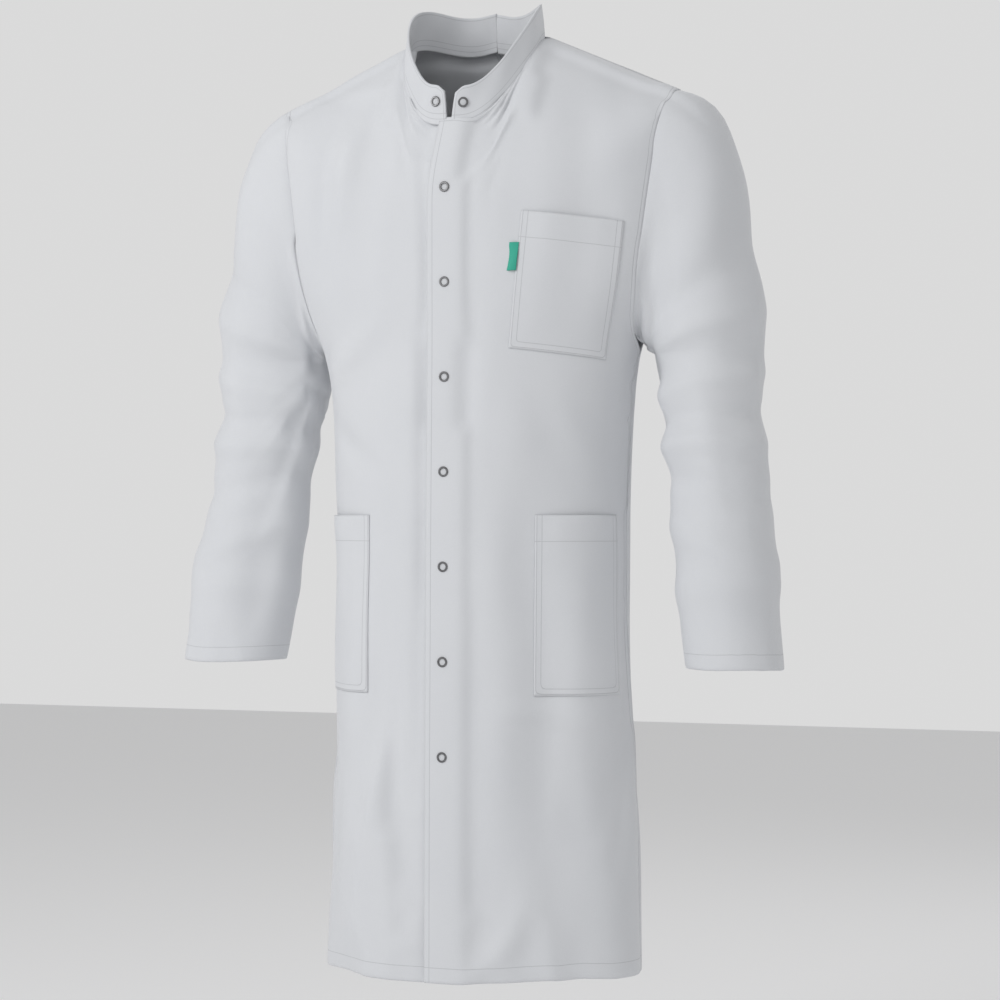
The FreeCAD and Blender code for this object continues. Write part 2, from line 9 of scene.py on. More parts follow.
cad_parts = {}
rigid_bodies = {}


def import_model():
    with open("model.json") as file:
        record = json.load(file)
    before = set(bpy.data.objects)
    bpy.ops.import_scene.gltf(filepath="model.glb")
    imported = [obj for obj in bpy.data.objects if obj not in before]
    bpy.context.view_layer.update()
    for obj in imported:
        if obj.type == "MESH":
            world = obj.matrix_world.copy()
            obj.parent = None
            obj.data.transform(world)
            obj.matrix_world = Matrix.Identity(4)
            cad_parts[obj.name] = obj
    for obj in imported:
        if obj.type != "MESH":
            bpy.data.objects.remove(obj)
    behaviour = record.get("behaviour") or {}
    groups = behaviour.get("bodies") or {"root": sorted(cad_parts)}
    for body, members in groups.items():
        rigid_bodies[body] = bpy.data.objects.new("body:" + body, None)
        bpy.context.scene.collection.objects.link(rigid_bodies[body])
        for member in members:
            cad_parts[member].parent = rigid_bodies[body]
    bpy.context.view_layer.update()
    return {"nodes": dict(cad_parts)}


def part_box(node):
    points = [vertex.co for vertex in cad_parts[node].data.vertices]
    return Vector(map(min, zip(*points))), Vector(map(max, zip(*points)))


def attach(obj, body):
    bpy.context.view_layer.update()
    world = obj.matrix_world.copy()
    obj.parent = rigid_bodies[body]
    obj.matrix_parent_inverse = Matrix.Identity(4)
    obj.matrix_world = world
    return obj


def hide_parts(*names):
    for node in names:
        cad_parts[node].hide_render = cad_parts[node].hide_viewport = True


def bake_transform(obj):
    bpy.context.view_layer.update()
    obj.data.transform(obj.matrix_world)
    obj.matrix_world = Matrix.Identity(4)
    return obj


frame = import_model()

scene = bpy.context.scene

# camera, light and floor

viewSetup = {
    "azimuth": 20,            # degrees round from the front, towards the wearer's left
    "distance": 2.9,
    "height": -0.522,         # level with the mouths of the hip pockets
    "across": 0.019,          # how far the view's middle lies to the right of the coat's
    "lens": 94.5,
    "rise": 0.015,
}


def makeCamera(setup):
    turn = math.radians(setup["azimuth"])
    forward = Vector((-math.sin(turn), math.cos(turn), 0))
    right = Vector((math.cos(turn), math.sin(turn), 0))
    data = bpy.data.cameras.new("studioCamera")
    data.lens = setup["lens"]
    data.shift_y = setup["rise"]
    camera = bpy.data.objects.new("studioCamera", data)
    scene.collection.objects.link(camera)
    target = right * setup["across"] + Vector((0, 0, setup["height"]))
    camera.location = target - forward * setup["distance"]
    camera.rotation_euler = (math.pi / 2, 0, turn)
    scene.camera = camera


studio = {
    "floor": -1.32,
    "backdrop": (0.93, 0.93, 0.935),
    "sky": 0.56,
    "key": 38, "fill": 5, "rim": 9, "seen": 0.88,
}


def areaLight(name, power, size, place, aim):
    data = bpy.data.lights.new(name, "AREA")
    data.energy = power
    data.size = size
    lamp = bpy.data.objects.new(name, data)
    scene.collection.objects.link(lamp)
    lamp.location = place
    lamp.rotation_euler = (Vector(aim) - Vector(place)).to_track_quat("-Z", "Y").to_euler()


def setFloorShade(floor):
    paper = bpy.data.materials.new("studioPaper")
    paper.use_nodes = True
    shader = paper.node_tree.nodes["Principled BSDF"]
    shader.inputs["Base Color"].default_value = (*studio["backdrop"], 1)
    shader.inputs["Roughness"].default_value = 0.9
    floor.data.materials.append(paper)


def makeStudio(setup):
    world = bpy.data.worlds.new("softSky")
    world.use_nodes = True
    tree = world.node_tree
    glow = tree.nodes["Background"]
    glow.inputs["Color"].default_value = (1, 1, 1, 1)
    glow.inputs["Strength"].default_value = setup["sky"]
    seen = tree.nodes.new("ShaderNodeBackground")
    seen.inputs["Strength"].default_value = setup["seen"]
    path = tree.nodes.new("ShaderNodeLightPath")
    choose = tree.nodes.new("ShaderNodeMixShader")
    tree.links.new(path.outputs["Is Camera Ray"], choose.inputs["Fac"])
    tree.links.new(glow.outputs["Background"], choose.inputs[1])
    tree.links.new(seen.outputs["Background"], choose.inputs[2])
    tree.links.new(choose.outputs["Shader"], tree.nodes["World Output"].inputs["Surface"])
    scene.world = world
    scene.view_settings.view_transform = "Standard"
    bpy.ops.object.select_all(action="DESELECT")
    bpy.ops.mesh.primitive_plane_add(size=14, location=(0, 0, setup["floor"]))
    floor = bpy.context.active_object
    floor.name = "studioFloor"
    setFloorShade(floor)
    middle = (0, 0, -0.5)
    areaLight("keyLight", setup["key"], 1.6, (-1.5, -2.3, 0.9), middle)
    areaLight("fillLight", setup["fill"], 2.2, (2.2, -2.0, 0.2), middle)
    areaLight("rimLight", setup["rim"], 1.8, (0.6, 2.4, 1.2), middle)


makeCamera(viewSetup)
makeStudio(studio)
print("camera and studio made")

# materials

whiteCloth = {
    "colour": (0.70, 0.712, 0.735),
    "shade": (0.62, 0.635, 0.665),
    "thread": 0.00042,        # spacing of the weave
    "stitch": 0.0026,         # length of one stitch
    "stitchWidth": 0.00055,
    "roughness": 0.82,
    "sheen": 0.25,
}


def nodeMaker(material):
    material.use_nodes = True
    tree = material.node_tree

    def add(kind, **settings):
        node = tree.nodes.new(kind)
        for key, value in settings.items():
            if key.startswith("in_"):
                node.inputs[int(key[3:])].default_value = value
            else:
                setattr(node, key, value)
        return node

    def link(source, target):
        tree.links.new(source, target)

    def calc(operation, first, second=None, third=None):
        node = add("ShaderNodeMath", operation=operation)
        for slot, value in enumerate((first, second, third)):
            if value is None:
                continue
            if isinstance(value, (int, float)):
                node.inputs[slot].default_value = value
            else:
                link(value, node.inputs[slot])
        return node.outputs[0]

    return tree, add, link, calc


def stitchLine(add, link, calc, distance, run, offset, cloth):
    # a raised dash where the distance from an edge equals the offset; the band round the line is also
    # returned and is used for painted shade
    away = calc("ABSOLUTE", calc("SUBTRACT", distance, offset))
    band = calc("SUBTRACT", 1.0, calc("DIVIDE", away, cloth["stitchWidth"]))
    band = calc("MAXIMUM", band, 0.0)
    cycle = calc("PINGPONG", run, cloth["stitch"] / 2)
    dash = calc("GREATER_THAN", cycle, cloth["stitch"] * 0.09)
    return calc("MULTIPLY", band, dash), band


def clothMaterial(name, cloth, lines):
    # lines: (attribute that holds the distance from an edge, offset, run axis)
    material = bpy.data.materials.new(name)
    tree, add, link, calc = nodeMaker(material)
    shader = tree.nodes["Principled BSDF"]
    shader.inputs["Roughness"].default_value = cloth["roughness"]
    shader.inputs["Sheen Weight"].default_value = cloth["sheen"]
    shader.inputs["Sheen Roughness"].default_value = 0.45
    shader.inputs["Specular IOR Level"].default_value = 0.25
    place = add("ShaderNodeTexCoord")
    flat = add("ShaderNodeUVMap", uv_map="cut")
    parts = add("ShaderNodeSeparateXYZ")
    link(flat.outputs["UV"], parts.inputs[0])
    warp = calc("SINE", calc("MULTIPLY", parts.outputs[0], 2 * math.pi / cloth["thread"]))
    weft = calc("SINE", calc("MULTIPLY", parts.outputs[1], 2 * math.pi / cloth["thread"]))
    weave = calc("MULTIPLY", warp, weft)
    slub = add("ShaderNodeTexNoise", in_2=900.0, in_3=3.0)
    link(place.outputs["Object"], slub.inputs["Vector"])
    cloudy = add("ShaderNodeTexNoise", in_2=9.0, in_3=4.0)
    link(place.outputs["Object"], cloudy.inputs["Vector"])
    mottle = calc("MULTIPLY_ADD", weave, 0.12, calc("MULTIPLY", slub.outputs[0], 0.5))
    tone = calc("ADD", calc("MULTIPLY", cloudy.outputs[0], 0.55), mottle)
    height = calc("MULTIPLY_ADD", weave, 0.00003, calc("MULTIPLY", slub.outputs[0], 0.00006))
    shadow = 0.0
    for attribute, offset, axis in lines:
        reader = add("ShaderNodeAttribute", attribute_name=attribute)
        dash, band = stitchLine(add, link, calc, reader.outputs["Fac"],
                                parts.outputs[axis], offset, cloth)
        height = calc("ADD", height, calc("MULTIPLY", dash, 0.00022))
        height = calc("SUBTRACT", height, calc("MULTIPLY", band, 0.00008))
        # painted shade: along each stitch line the cloth colour is pulled towards the darker tone, standing
        # in for the shade in the stitch groove
        tone = calc("SUBTRACT", tone, calc("MULTIPLY", band, 0.30))
        shadow = calc("MAXIMUM", shadow, calc("MULTIPLY", band, 0.5))
    mix = add("ShaderNodeMix", data_type="RGBA")
    mix.inputs["A"].default_value = (*cloth["shade"], 1)
    mix.inputs["B"].default_value = (*cloth["colour"], 1)
    tone = calc("MINIMUM", calc("MAXIMUM", calc("MULTIPLY_ADD", tone, 1.1, 0.1), 0.0), 1.0)
    link(tone, mix.inputs["Factor"])
    colour = mix.outputs["Result"]
    # painted shade: along the stitch lines the colour is mixed towards a darker copy of the cloth colour
    # (0.52 of it)
    if lines:
        stitchShadeMix = add("ShaderNodeMix", data_type="RGBA")
        stitchShadeMix.inputs["B"].default_value = (*[c * 0.52 for c in cloth["colour"]], 1)
        link(shadow, stitchShadeMix.inputs["Factor"])
        link(colour, stitchShadeMix.inputs["A"])
        colour = stitchShadeMix.outputs["Result"]
    link(colour, shader.inputs["Base Color"])
    bump = add("ShaderNodeBump")
    bump.inputs["Strength"].default_value = 0.8
    bump.inputs["Distance"].default_value = 1.0
    link(height, bump.inputs["Height"])
    link(bump.outputs["Normal"], shader.inputs["Normal"])
    return material


def metalMaterial(name, colour, roughness):
    material = bpy.data.materials.new(name)
    tree, add, link, calc = nodeMaker(material)
    shader = tree.nodes["Principled BSDF"]
    shader.inputs["Metallic"].default_value = 1.0
    place = add("ShaderNodeTexCoord")
    wear = add("ShaderNodeTexNoise", in_2=420.0, in_3=5.0)
    link(place.outputs["Object"], wear.inputs["Vector"])
    ramp = add("ShaderNodeMix", data_type="RGBA")
    ramp.inputs["A"].default_value = (*[c * 0.7 for c in colour], 1)
    ramp.inputs["B"].default_value = (*[min(1, c * 1.3) for c in colour], 1)
    link(wear.outputs[0], ramp.inputs["Factor"])
    link(ramp.outputs["Result"], shader.inputs["Base Color"])
    link(calc("MULTIPLY_ADD", wear.outputs[0], 0.25, roughness - 0.12), shader.inputs["Roughness"])
    bump = add("ShaderNodeBump")
    bump.inputs["Strength"].default_value = 0.15
    bump.inputs["Distance"].default_value = 0.0002
    link(wear.outputs[0], bump.inputs["Height"])
    link(bump.outputs["Normal"], shader.inputs["Normal"])
    return material


hemStitch = ("fromHem", 0.0175, 0)
edgeStitch = ("fromEdge", 0.006, 1)
seamStitch = ("fromSeam", 0.0045, 1)
bodyMaterial = clothMaterial("coatPoplin", whiteCloth, [hemStitch, edgeStitch, seamStitch])
sleeveMaterial = clothMaterial("sleevePoplin", whiteCloth, [hemStitch])
collarMaterial = clothMaterial("collarPoplin", whiteCloth, [("fromHem", 0.003, 0),
                                                           ("fromEdge", 0.003, 1)])
pocketMaterial = clothMaterial("pocketPoplin", whiteCloth, [("fromHem", 0.028, 0),
                                                           ("fromEdge", 0.002, 1),
                                                           ("fromEdge", 0.0075, 1)])
snapMaterial = metalMaterial("darkNickel", (0.20, 0.20, 0.205), 0.34)

# the shape that the coat is cut to, in metres

shape = {
    "hem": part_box("left_back")[0].z,
    "underarm": -0.345,
    "underarmOut": 0.189,
    "armholeLean": math.tan(math.radians(7.7)),
    "ridgeRise": 0.036,
    "ridgeFall": math.tan(math.radians(23.7)),
    "archTall": 1.2, "archSpread": 0.23,
    "neckRadius": 0.078, "neckForward": 0.027,
    "wrap": 0.020,
    "wrapDepth": 0.0052,      # how far the right front lies inside the left one
    # height, half width, half depth
    "sections": [(-1.06, 0.178, 0.127), (-0.86, 0.176, 0.126), (-0.70, 0.175, 0.124),
                 (-0.50, 0.173, 0.121), (-0.345, 0.189, 0.118), (-0.25, 0.236, 0.118),
                 (-0.125, 0.25, 0.118), (0.072, 0.25, 0.118)],
}
grid = {"across": 25, "neckColumn": 6, "wrapColumns": 3, "lowRows": 68, "topRows": 28,
        "capRings": 16, "armRings": 36}


def smooth(value):
    value = min(1.0, max(0.0, value))
    return value * value * (3 - 2 * value)


def tubeAt(z, column):
    rows = shape["sections"]
    z = min(max(z, rows[0][0]), rows[-1][0] - 1e-6)
    k = max(i for i in range(len(rows) - 1) if rows[i][0] <= z)

    def slope(i):
        i = min(max(i, 1), len(rows) - 2)
        return (rows[i + 1][column] - rows[i - 1][column]) / (rows[i + 1][0] - rows[i - 1][0])

    span = rows[k + 1][0] - rows[k][0]
    t = (z - rows[k][0]) / span
    start = slope(k) if k > 0 else 0
    end = slope(k + 1) if k < len(rows) - 2 else 0
    return ((2 * t ** 3 - 3 * t ** 2 + 1) * rows[k][column] + (t ** 3 - 2 * t ** 2 + t) * span * start
            + (3 * t ** 2 - 2 * t ** 3) * rows[k + 1][column] + (t ** 3 - t ** 2) * span * end)


def ridgeHeight(x):
    return shape["ridgeRise"] - shape["ridgeFall"] * abs(x)


def depthAt(x, z):
    # how far the cloth stands in front of, or behind, the shoulder line
    drop = ridgeHeight(x) - z
    if drop <= 0:
        return 0.0
    arch = shape["archSpread"] * math.sqrt(1 - (1 - drop / shape["archTall"]) ** 2)
    wide, deep = tubeAt(z, 1), tubeAt(z, 2)
    tube = deep * math.sqrt(max(0.0, 1 - (x / wide) ** 2))
    soft = 0.016
    near = max(soft - abs(arch - tube), 0) / soft
    return max(0.0, min(arch, tube) - near * near * soft * 0.25 * min(1, tube / 0.03))


def armholeOut(z):
    return shape["underarmOut"] + (z - shape["underarm"]) * shape["armholeLean"]


def columnX(share, z):
    wide = tubeAt(z, 1)
    limit = math.pi / 2 if z <= shape["underarm"] else math.asin(min(1, armholeOut(z) / wide))
    return wide * math.sin(share * limit)


def inNeck(x, y):
    return x * x + (y + shape["neckForward"]) ** 2 < shape["neckRadius"] ** 2


def columnTop(share, facing, toNeck):
    low, high = shape["underarm"], 0.05
    step = 0.004
    z = low
    while z < high:
        x = columnX(share, z)
        y = facing * depthAt(x, z)
        if (toNeck and inNeck(x, y)) or (not toNeck and z >= ridgeHeight(x)):
            break
        z += step
    low, high = z - step, z
    for _ in range(30):
        z = (low + high) / 2
        x = columnX(share, z)
        done = inNeck(x, facing * depthAt(x, z)) if toNeck else z >= ridgeHeight(x)
        if done:
            high = z
        else:
            low = z
    return z


def rowHeights(top):
    low = np.linspace(shape["hem"], shape["underarm"], grid["lowRows"] + 1)
    back = 1 - np.arange(1, grid["topRows"] + 1) / grid["topRows"]
    gather = 2.5              # rows crowd towards the shoulder, where the cloth turns over
    high = top - (top - shape["underarm"]) * (gather * back ** 2 + back) / (gather + 1)
    return np.concatenate([low, high])


def quarterPanel(side, facing):
    # one quarter of the body: rows from the hem up, columns from the centre to the side
    columns = []
    wrapColumns = grid["wrapColumns"] if facing < 0 else 0
    for number in range(-wrapColumns, grid["across"] + 1):
        share = max(0, number) / grid["across"]
        toNeck = number < grid["neckColumn"]
        heights = rowHeights(columnTop(share, facing, toNeck))
        past = min(0, number) / max(1, wrapColumns) * shape["wrap"]
        column = []
        for row, z in enumerate(heights):
            x = columnX(share, z) + past
            y = facing * depthAt(max(abs(x), 1e-6), z)
            if not toNeck and row == len(heights) - 1:
                y = 0.0
            if facing < 0 and side < 0:
                inside = shape["wrapDepth"] * smooth((0.05 - x) / 0.03)
                y += inside
            column.append((side * x, y, z))
        columns.append(column)
    return np.array(columns).transpose(1, 0, 2)


sleeve = {
    "bend": 0.008, "armhole": 0.283, "armholeDepth": 0.068, "back": 0.006,
    "cap": 0.158, "capDepth": 0.066, "capAngle": 45,
    "bicep": 0.062, "bicepDepth": 0.060, "bicepOut": 0.258,
    "elbow": -0.415, "elbowOut": 0.261, "elbowWide": 0.061, "elbowDepth": 0.059,
    "cuff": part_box("left_sleeve_lower")[0].z, "cuffOut": 0.296, "cuffForward": 0.020,
    "cuffWide": 0.057, "cuffDepth": 0.051,
}
leanAngle = math.atan(shape["armholeLean"])
turnOut = shape["underarmOut"] - sleeve["bend"] * math.sin(leanAngle)
turnZ = shape["underarm"] - sleeve["bend"] * math.cos(leanAngle)


def fanSection(angle):
    top = 90 - math.degrees(leanAngle)
    start = sleeve["capAngle"]
    if angle > start:
        share = min(1, (angle - start) / (top - start))
        grown = math.sin(math.pi / 2 * share) ** 1.5
        length = sleeve["cap"] + (sleeve["armhole"] - sleeve["cap"]) * grown
        depth = sleeve["capDepth"] + (sleeve["armholeDepth"] - sleeve["capDepth"]) * share
        return length, depth, sleeve["back"] + 0.009 * (1 - share)
    share = angle / start
    level = 2 * sleeve["bicep"]
    length = level + (sleeve["cap"] - level) * share ** 1.5
    depth = sleeve["bicepDepth"] + (sleeve["capDepth"] - sleeve["bicepDepth"]) * share
    return length, depth, sleeve["back"] + 0.012 - 0.003 * share


def ringPoints(centre, along, half, depth, side):
    # starts at the inner wall and runs round by the front
    count = 2 * grid["topRows"]
    points = []
    for number in range(count):
        turn = 2 * math.pi * number / count
        points.append(centre - along * half * math.cos(turn)
                      - Vector((0, depth * math.sin(turn), 0)))
    return np.array([tuple(p) for p in points])


def sleeveRings(side, armhole):
    rings = []
    top = 90 - math.degrees(leanAngle)
    for step in range(grid["capRings"] + 1):
        angle = top * (1 - step / grid["capRings"])
        length, depth, back = fanSection(angle)
        way = math.radians(angle)
        along = Vector((side * math.cos(way), 0, math.sin(way)))
        middle = sleeve["bend"] + length / 2
        centre = Vector((side * turnOut, back, turnZ)) + along * middle
        rings.append(ringPoints(centre, along, length / 2, depth, side))
    levels = [(turnZ, sleeve["bicepOut"], sleeve["back"] + 0.012, sleeve["bicep"],
               sleeve["bicepDepth"]),
              (sleeve["elbow"], sleeve["elbowOut"], sleeve["back"] + 0.004,
               sleeve["elbowWide"], sleeve["elbowDepth"]),
              (sleeve["cuff"], sleeve["cuffOut"], -sleeve["cuffForward"],
               sleeve["cuffWide"], sleeve["cuffDepth"])]
    heights = np.linspace(turnZ, sleeve["cuff"], grid["armRings"] + 1)[1:]
    known = [level[0] for level in levels][::-1]
    for z in heights:
        out, back, wide, deep = (np.interp(z, known, [level[k] for level in levels][::-1])
                                 for k in range(1, 5))
        rings.append(ringPoints(Vector((side * out, back, z)), Vector((side, 0, 0)),
                                wide, deep, side))
    rings = np.array(rings)
    offset = armhole - rings[0]
    for number in range(8):
        rings[number] += offset * (1 - smooth(number / 7))
    return rings


panels = {}
for sideName, side in (("left", 1), ("right", -1)):
    panels[f"{sideName}Front"] = quarterPanel(side, -1)
    panels[f"{sideName}Back"] = quarterPanel(side, 1)
for sideName, side in (("left", 1), ("right", -1)):
    low = grid["lowRows"]
    front = panels[f"{sideName}Front"][low:, -1]
    back = panels[f"{sideName}Back"][low:, -1]
    armhole = np.concatenate([front, back[-2:0:-1]])
    panels[f"{sideName}Sleeve"] = sleeveRings(side, armhole)
print("panels laid out:", {name: points.shape for name, points in panels.items()})

# the upper corner of the left front hangs a little open, as the collar is undone

def easeNeck(points, shift):
    for row in points:
        for point in row:
            near = smooth((0.09 - abs(point[0])) / 0.09)
            high = smooth((point[2] + 0.185) / 0.09)
            point[0] += shift * near * high


easeNeck(panels["leftFront"], 0.010)
easeNeck(panels["rightFront"], -0.003)

# weld the panels into one sheet, and let it hang over a plain form

drape = {
    "frames": 16, "mass": 0.22, "tension": 20, "bending": 0.5, "ease": -0.012, "weight": 0.25,
    "formGap": 0.006, "armGap": 0.007, "pinWidth": 0.030, "furthest": 0.007,
}


def quads(rows, columns, closed=False):
    wide = columns if closed else columns - 1
    faces = []
    for r in range(rows - 1):
        for c in range(wide):
            d = (c + 1) % columns
            faces.append((r * columns + c, r * columns + d, (r + 1) * columns + d,
                          (r + 1) * columns + c))
    return faces


def newMesh(name, points, faces):
    mesh = bpy.data.meshes.new(name)
    mesh.from_pydata([tuple(p) for p in points], [], faces)
    mesh.update()
    piece = bpy.data.objects.new(name, mesh)
    scene.collection.objects.link(piece)
    return piece


def weldPanels():
    names = list(panels)
    allPoints = np.concatenate([panels[name].reshape(-1, 3) for name in names])
    tree = KDTree(len(allPoints))
    for number, point in enumerate(allPoints):
        tree.insert(point, number)
    tree.balance()
    owner = {}
    for number, point in enumerate(allPoints):
        owner[number] = min(hit[1] for hit in tree.find_range(point, 0.0006))
    kept = sorted(set(owner.values()))
    index = {old: new for new, old in enumerate(kept)}
    lookup, faces, start = {}, [], 0
    for name in names:
        rows, columns = panels[name].shape[:2]
        numbers = [index[owner[start + k]] for k in range(rows * columns)]
        lookup[name] = np.array(numbers).reshape(rows, columns)
        for face in quads(rows, columns, "Sleeve" in name):
            loop = [numbers[k] for k in face]
            if len(set(loop)) > 2:
                faces.append(list(dict.fromkeys(loop)))
        start += rows * columns
    return allPoints[kept], faces, lookup


def formMeshes():
    # a plain bust and two arms, a little smaller than the coat
    points = []
    gap = drape["formGap"]
    heights = np.linspace(0.02, -0.62, 50)
    for z in heights:
        for k in range(64):
            turn = 2 * math.pi * k / 64
            wide, deep = tubeAt(z, 1) - gap, tubeAt(z, 2) - gap
            limit = armholeOut(z) - gap if z > shape["underarm"] else wide
            x = max(-limit, min(limit, wide * math.sin(turn)))
            limitDepth = depthAt(x, z + gap)
            y = math.copysign(min(abs(deep * math.cos(turn)), max(0, limitDepth - gap * 0.6)),
                              -math.cos(turn))
            points.append((x, y, min(z, ridgeHeight(x) - gap)))
    bust = newMesh("formBust", points, quads(50, 64, True))
    forms = [bust]
    for name in ("leftSleeve", "rightSleeve"):
        rings = panels[name][4:-6]
        centres = rings.mean(axis=1, keepdims=True)
        spread = rings - centres
        reach = np.linalg.norm(spread, axis=2, keepdims=True)
        inner = centres + spread * (reach - drape["armGap"]) / reach
        forms.append(newMesh("form" + name, inner.reshape(-1, 3),
                             quads(inner.shape[0], inner.shape[1], True)))
    return forms


def pinWeight(point):
    x, y, z = point
    weight = smooth((ridgeHeight(x) * -1 + z + 0.022) / 0.012)
    if y < 0:
        weight = max(weight, smooth((drape["pinWidth"] - abs(x)) / 0.008))
        if (abs(x) < 0.09 and z > -0.12):
            weight = max(weight, smooth((z + 0.125) / 0.03))
    if y > 0 and abs(x) < 0.09:
        weight = max(weight, smooth((z + 0.03) / 0.015))
    return weight


def hang(points, faces):
    coat = newMesh("hangingCoat", points, faces)
    group = coat.vertex_groups.new(name="held")
    for number, point in enumerate(points):
        group.add([number], pinWeight(point), "REPLACE")
    forms = formMeshes()
    for form in forms:
        form.modifiers.new("Collision", "COLLISION")
        form.collision.thickness_outer = 0.002
        form.collision.cloth_friction = 6
    cloth = coat.modifiers.new("Cloth", "CLOTH")
    made = cloth.settings
    made.quality = 6
    made.mass = drape["mass"]
    made.tension_stiffness = drape["tension"]
    made.compression_stiffness = drape["tension"]
    made.shear_stiffness = 4
    made.bending_stiffness = drape["bending"]
    made.shrink_min = drape["ease"]
    made.air_damping = 2
    made.vertex_group_mass = "held"
    made.pin_stiffness = 1
    made.effector_weights.gravity = drape["weight"]
    cloth.collision_settings.use_collision = True
    cloth.collision_settings.distance_min = 0.002
    cloth.collision_settings.collision_quality = 2
    cloth.point_cache.frame_start = 1
    cloth.point_cache.frame_end = drape["frames"]
    for number in range(1, drape["frames"] + 1):
        scene.frame_set(number)
    graph = bpy.context.evaluated_depsgraph_get()
    moved = coat.evaluated_get(graph).to_mesh()
    result = np.array([tuple(v.co) for v in moved.vertices])
    scene.frame_set(1)
    for thing in [coat, *forms]:
        bpy.data.objects.remove(thing, do_unlink=True)
    return result


# each crease: from, to, half width, how far it stands out, in metres
creases = [
    ((0.095, -0.085, -0.020), (0.125, -0.112, -0.110), 0.013, 0.0045),
    ((-0.110, -0.070, -0.045), (-0.135, -0.105, -0.190), 0.014, 0.0050),
    ((-0.150, -0.075, -0.090), (-0.165, -0.095, -0.260), 0.012, -0.0035),
    ((0.105, -0.110, -0.375), (0.165, -0.060, -0.470), 0.011, 0.0045),
    ((0.090, -0.114, -0.400), (0.150, -0.075, -0.505), 0.010, -0.0035),
    ((0.055, -0.120, -0.725), (0.170, -0.040, -0.745), 0.009, 0.0035),
    ((-0.060, -0.118, -0.300), (-0.175, -0.050, -0.385), 0.014, 0.0040),
    ((-0.080, -0.112, -0.480), (-0.160, -0.050, -0.420), 0.012, -0.0030),
    ((0.150, 0.085, -0.100), (0.110, 0.110, -0.300), 0.016, 0.0050),
    ((-0.150, 0.085, -0.100), (-0.105, 0.110, -0.290), 0.016, 0.0050),
    ((0.160, 0.060, -0.350), (0.040, 0.118, -0.470), 0.018, 0.0045),
    ((-0.160, 0.060, -0.360), (-0.050, 0.118, -0.500), 0.018, 0.0045),
]
armCreases = [
    # height at the inner wall and at the outer wall, half width, standing out
    (-0.395, -0.360, 0.010, 0.0050), (-0.425, -0.405, 0.009, -0.0045),
    (-0.450, -0.440, 0.010, 0.0050), (-0.480, -0.500, 0.011, -0.0035),
    (-0.530, -0.570, 0.014, 0.0035), (-0.345, -0.290, 0.013, 0.0040),
    (-0.310, -0.230, 0.014, -0.0035), (-0.610, -0.590, 0.016, 0.0030),
]


def creaseAt(point, start, end, wide):
    along = end - start
    t = min(1.0, max(0.0, (point - start).dot(along) / along.length_squared))
    away = (point - start - along * t).length
    return math.exp(-(away / wide) ** 2) * math.sin(math.pi * (0.08 + 0.84 * t))


def foldHeight(point):
    x, y, z = point
    onArm = abs(x) > armholeOut(max(z, shape["underarm"])) + 0.004 and z > sleeve["cuff"] - 0.01
    lift = noise.noise(Vector((x * 9, y * 9, z * 3.2))) * 0.0078
    lift += noise.noise(Vector((x * 24 + 5, y * 24, z * 9))) * 0.0030
    if onArm:
        share = (abs(x) - 0.2) / 0.14
        for inner, outer, wide, high in armCreases:
            level = inner + (outer - inner) * share + 0.012 * noise.noise(Vector((x * 14, y * 14, 3)))
            lift += 1.25 * high * math.exp(-((z - level) / wide) ** 2) * (0.75 - 0.25 * math.copysign(1, y))
    else:
        for start, end, wide, high in creases:
            lift += 1.6 * high * creaseAt(point, Vector(start), Vector(end), wide)
        turn = math.atan2(x, -y)
        flute = math.sin(5 * turn + 1.1) + 0.6 * math.sin(9 * turn + 4 * z)
        lift += 0.0050 * flute * smooth((-0.42 - z) / 0.35)
    keep = 1.0
    if y < 0:
        keep *= smooth((abs(x) - 0.014) / 0.045)
    ring = math.hypot(x, y + shape["neckForward"])
    if z > -0.16:
        keep *= smooth((ring - shape["neckRadius"]) / 0.03)
    return lift * keep


def addFolds(points, faces):
    coat = newMesh("foldedCoat", points, faces)
    result = points.copy()
    for number, vertex in enumerate(coat.data.vertices):
        normal = vertex.normal
        away = Vector((vertex.co.x - math.copysign(0.25, vertex.co.x), vertex.co.y, 0))
        body = Vector((vertex.co.x, vertex.co.y, 0.0))
        outward = away if abs(vertex.co.x) > 0.2 and vertex.co.z < -0.06 else body
        side = 1 if normal.dot(outward) > 0 or vertex.co.z > -0.06 else -1
        result[number] += np.array(normal * side * foldHeight(vertex.co))
    bpy.data.objects.remove(coat, do_unlink=True)
    return result


welded, weldedFaces, lookup = weldPanels()
settled = hang(welded, weldedFaces)
moved = np.linalg.norm(settled - welded, axis=1)
reach = np.minimum(1, drape["furthest"] / np.maximum(moved, 1e-9))[:, None]
settled = addFolds(welded + (settled - welded) * reach, weldedFaces)
for name in panels:
    panels[name] = settled[lookup[name]]
print("coat hung, furthest move", round(float(moved.max()), 4))

# turn each panel into a piece of cloth with hems, seams and a thickness

clothSheet = {"thick": 0.0009, "hemTall": 0.019, "hemGap": 0.0013, "seamDip": 0.0006}
farAway = 0.5              # for a point with no stitching near it


def arcs(points, axis):
    steps = np.linalg.norm(np.diff(points, axis=axis), axis=2)
    pad = [(0, 0), (0, 0)]
    pad[axis] = (1, 0)
    return np.pad(np.cumsum(steps, axis=axis), pad)


def gridNormals(points, closed, middle):
    along = np.gradient(points, axis=0)
    if closed:
        across = np.roll(points, -1, axis=1) - np.roll(points, 1, axis=1)
    else:
        across = np.gradient(points, axis=1)
    normals = np.cross(across, along)
    normals /= np.maximum(np.linalg.norm(normals, axis=2, keepdims=True), 1e-9)
    outward = (normals * (points - middle)).sum()
    return normals * (1 if outward > 0 else -1)


def applyAll(piece):
    bpy.ops.object.select_all(action="DESELECT")
    piece.select_set(True)
    bpy.context.view_layer.objects.active = piece
    for modifier in list(piece.modifiers):
        bpy.ops.object.modifier_apply(modifier=modifier.name)


